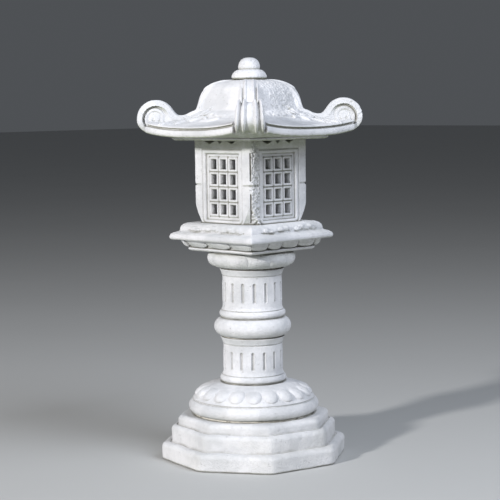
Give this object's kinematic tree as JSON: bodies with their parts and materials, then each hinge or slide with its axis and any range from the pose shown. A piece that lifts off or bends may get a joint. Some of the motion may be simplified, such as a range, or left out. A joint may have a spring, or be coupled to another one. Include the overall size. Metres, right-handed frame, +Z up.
{
  "type": "stone garden lantern",
  "caption": "Cast-stone garden lantern: square light box with lattice windows under a scroll-cornered bell roof, on a fluted round column with an octagonal stepped plinth.",
  "frame": {"origin": "on the ground, at the centre of the plinth's bottom face", "axes": "+Z up along the column; -Y is the front of the light box, and its other faces lie across X and Y"},
  "size_m": [0.5006, 0.5006, 1.07],
  "materials": {
    "cast_stone": "matte",
    "mortar": "matte",
    "steel_pin": "satin"
  },
  "bodies": {
    "stand": {"plinth": "cast_stone", "plinth_mortar": "mortar", "foot": "cast_stone", "lower_drum_mortar": "mortar", "lower_drum": "cast_stone", "ring_mortar": "mortar", "ring": "cast_stone", "upper_drum_mortar": "mortar", "upper_drum": "cast_stone", "capital_mortar": "mortar", "capital": "cast_stone", "abacus": "cast_stone", "platform": "cast_stone", "dowels": "steel_pin", "box_pins": "steel_pin"},
    "light_box": {"light_box": "cast_stone", "front_lattice": "cast_stone", "right_lattice": "cast_stone", "back_lattice": "cast_stone", "left_lattice": "cast_stone"},
    "roof": {"eave_slab": "cast_stone", "roof": "cast_stone"},
    "finial": {"finial": "cast_stone", "finial_pin": "steel_pin"}
  },
  "joints": [
    {"name": "light_box_lift", "type": "slide", "parent": "stand", "child": "light_box", "axis": [0, 0, 1], "range_m": [0, 0.05]},
    {"name": "roof_lift", "type": "slide", "parent": "light_box", "child": "roof", "axis": [0, 0, 1], "range_m": [0, 0.1]},
    {"name": "finial_lift", "type": "slide", "parent": "roof", "child": "finial", "axis": [0, 0, 1], "range_m": [0, 0.05]}
  ]
}
